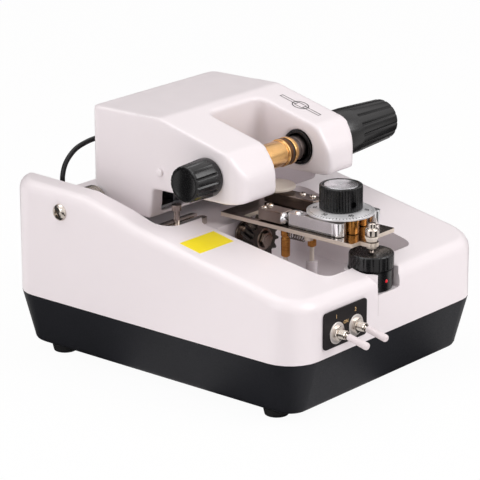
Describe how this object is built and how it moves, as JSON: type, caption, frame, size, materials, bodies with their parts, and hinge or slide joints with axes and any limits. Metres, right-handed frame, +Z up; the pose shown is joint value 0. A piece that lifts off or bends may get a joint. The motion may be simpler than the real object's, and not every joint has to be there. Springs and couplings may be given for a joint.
{
  "type": "lens thinning machine",
  "caption": "Bench machine with a swinging forked head that clamps and turns a spectacle lens over a milling cutter and a graduated guide table.",
  "frame": {"origin": "on the surface the machine stands on, under the middle of its overall box", "axes": "+Z up, +X to the right seen from the front with the switches, +Y to the back where the power inlet is"},
  "size_m": [0.2267, 0.2798, 0.1719],
  "materials": {
    "charcoal_plastic": "fine satin texture",
    "white_plastic": "semi-gloss moulded white",
    "foot_rubber": "dull",
    "plate_black": "printed plate with plain letters",
    "nickel_plate": "bright nickel",
    "lever_grey": "pale grey sleeve",
    "black_plastic": "moulded satin black",
    "laminated_steel": "zinc plated",
    "circuit_board": "solder resist",
    "bright_steel": "polished plate",
    "spring_steel": "drawn wire",
    "dark_ground_steel": "ground",
    "belt_rubber": "matt",
    "cord_black": "semi-matt jacket",
    "aluminium": "spun",
    "tool_steel": "dark ground",
    "turned_brass": "turned",
    "pad_rubber": "matt",
    "polished_chrome": "mirror",
    "ivory_nylon": "machined nylon"
  },
  "bodies": {
    "root": {"base_tub": "charcoal_plastic", "top_cover": "white_plastic", "foot_front_left": "foot_rubber", "foot_front_right": "foot_rubber", "foot_rear_left": "foot_rubber", "foot_rear_right": "foot_rubber", "switch_plate": "plate_black", "left_toggle_switch": "nickel_plate", "right_toggle_switch": "nickel_plate", "power_inlet": "black_plastic", "transformer": "laminated_steel", "control_board": "circuit_board", "cutter_bearing": "bright_steel", "cutter_belt": "belt_rubber", "cutter_motor": "laminated_steel", "hinge_rod": "bright_steel", "left_hinge_screw": "nickel_plate", "right_hinge_screw": "nickel_plate", "hinge_spring": "spring_steel", "head_rest": "bright_steel", "head_cord": "cord_black", "deck_gland": "cord_black"},
    "head": {"head_shell": "white_plastic", "head_chassis": "laminated_steel", "lens_gearmotor": "laminated_steel", "lens_belt": "belt_rubber", "head_gland": "cord_black", "clamp_liner": "black_plastic"},
    "gearmotor_wheel": {"gearmotor_pulley": "aluminium"},
    "lens_drive": {"left_knob": "black_plastic", "lens_spindle": "bright_steel", "left_chuck": "turned_brass", "clamp_pad": "pad_rubber"},
    "clamp_slide": {"clamp_shaft": "dark_ground_steel", "right_knob": "black_plastic"},
    "free_chuck": {"right_chuck": "turned_brass"},
    "cutter": {"milling_cutter": "tool_steel", "cutter_shaft": "bright_steel"},
    "motor_wheel": {"motor_pulley": "aluminium"},
    "turret": {"turret_knob": "black_plastic", "turret_spindle": "bright_steel"},
    "table": {"guide_table": "bright_steel", "left_guide_post": "turned_brass", "right_guide_post": "turned_brass", "lift_cone": "ivory_nylon", "lift_nut": "nickel_plate", "left_dial_column": "turned_brass", "right_dial_column": "turned_brass", "arm_spring": "spring_steel"},
    "dial": {"dial_disc": "aluminium", "dial_knob": "black_plastic", "dial_cap": "aluminium"},
    "left_arm": {"left_guide_arm": "polished_chrome", "left_guide_block": "bright_steel", "arm_ring": "black_plastic"},
    "right_arm": {"right_guide_arm": "polished_chrome", "right_guide_block": "bright_steel"},
    "roller": {"lens_roller": "ivory_nylon"},
    "left_toggle": {"left_toggle_lever": "lever_grey"},
    "right_toggle": {"right_toggle_lever": "lever_grey"}
  },
  "joints": [
    {"name": "head_swing", "type": "hinge", "parent": "root", "child": "head", "pos_m": [-0.0099, 0.0874, 0.1065], "axis": [-1, 0, 0], "range_deg": [0, 60], "deforming": ["head_cord"]},
    {"name": "lens_drive", "type": "hinge", "parent": "head", "child": "lens_drive", "pos_m": [-0.0519, -0.0091, 0.1405], "axis": [1, 0, 0], "continuous": true},
    {"name": "gearmotor_spin", "type": "hinge", "parent": "head", "child": "gearmotor_wheel", "pos_m": [-0.0519, 0.0604, 0.143], "axis": [1, 0, 0], "continuous": true},
    {"name": "clamp_slide", "type": "slide", "parent": "head", "child": "clamp_slide", "axis": [1, 0, 0], "range_m": [0, 0.012], "stiffness_N_per_m": 400, "springref_m": -0.005},
    {"name": "chuck_turn", "type": "hinge", "parent": "clamp_slide", "child": "free_chuck", "pos_m": [0.0106, -0.0091, 0.1405], "axis": [1, 0, 0], "continuous": true},
    {"name": "cutter_spin", "type": "hinge", "parent": "root", "child": "cutter", "pos_m": [-0.0159, -0.0056, 0.085], "axis": [0, 1, 0], "continuous": true},
    {"name": "motor_spin", "type": "hinge", "parent": "root", "child": "motor_wheel", "pos_m": [-0.0159, 0.0199, 0.036], "axis": [0, 1, 0], "continuous": true},
    {"name": "turret_turn", "type": "hinge", "parent": "root", "child": "turret", "pos_m": [-0.0149, -0.0986, 0.0948], "axis": [0, 0, 1], "range_deg": [-180, 180]},
    {"name": "table_lift", "type": "slide", "parent": "root", "child": "table", "axis": [0, 0, 1], "range_m": [-0.001, 0.001]},
    {"name": "dial_turn", "type": "hinge", "parent": "table", "child": "dial", "pos_m": [-0.0069, -0.0671, 0.1132], "axis": [0, 0, 1], "range_deg": [-150, 150]},
    {"name": "left_arm_swing", "type": "hinge", "parent": "table", "child": "left_arm", "pos_m": [-0.0199, -0.0509, 0.1016], "axis": [0, 0, 1], "range_deg": [-1.55, 1.55]},
    {"name": "right_arm_swing", "type": "hinge", "parent": "table", "child": "right_arm", "pos_m": [0.0177, -0.0509, 0.1016], "axis": [0, 0, 1], "range_deg": [-1.55, 1.55]},
    {"name": "roller_spin", "type": "hinge", "parent": "right_arm", "child": "roller", "pos_m": [0.0121, 0.0039, 0.1116], "axis": [0, 0, 1], "continuous": true},
    {"name": "left_toggle_throw", "type": "hinge", "parent": "root", "child": "left_toggle", "pos_m": [-0.0704, -0.1212, 0.0577], "axis": [-1, 0, 0], "range_deg": [0, 24]},
    {"name": "right_toggle_throw", "type": "hinge", "parent": "root", "child": "right_toggle", "pos_m": [-0.0509, -0.1212, 0.0577], "axis": [-1, 0, 0], "range_deg": [0, 24]}
  ],
  "couplings": [
    {"joint": "gearmotor_spin", "follows": "lens_drive", "ratio": 1.5},
    {"joint": "chuck_turn", "follows": "lens_drive", "ratio": 1},
    {"joint": "motor_spin", "follows": "cutter_spin", "ratio": 1},
    {"joint": "turret_turn", "follows": "table_lift", "rad_per_m": 3141},
    {"joint": "left_arm_swing", "follows": "dial_turn", "ratio": 0.01},
    {"joint": "right_arm_swing", "follows": "dial_turn", "ratio": -0.01}
  ]
}
